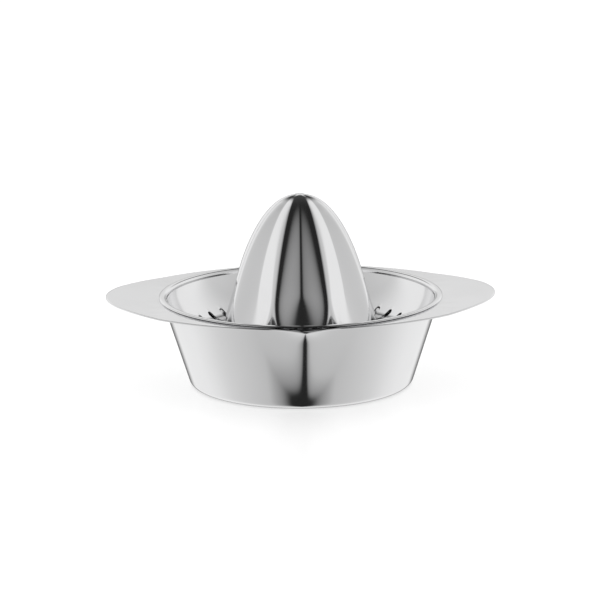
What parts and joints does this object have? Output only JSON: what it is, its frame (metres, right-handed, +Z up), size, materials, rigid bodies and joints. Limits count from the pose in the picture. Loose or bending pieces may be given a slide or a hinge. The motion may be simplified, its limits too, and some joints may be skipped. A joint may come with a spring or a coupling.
{
  "type": "lemon squeezer",
  "caption": "Hand lemon squeezer in polished sheet steel: a spouted juice bowl with wing handles, and a lift-out slotted strainer dish with a lobed reamer cone.",
  "frame": {"origin": "middle of the flat underside that the bowl stands on, on the axis of the bowl and the reamer", "axes": "+Z up along the reamer's axis, +X along the span of the two wing handles, -Y towards the pouring spout"},
  "size_m": [0.19, 0.1468, 0.0931],
  "materials": {
    "polished_steel": "polished"
  },
  "bodies": {
    "bowl": {"bowl": "polished_steel"},
    "insert": {"strainer_insert": "polished_steel"}
  },
  "joints": [
    {"name": "insert_lift", "type": "slide", "parent": "bowl", "child": "insert", "axis": [0, 0, 1], "range_m": [0, 0.06]}
  ]
}
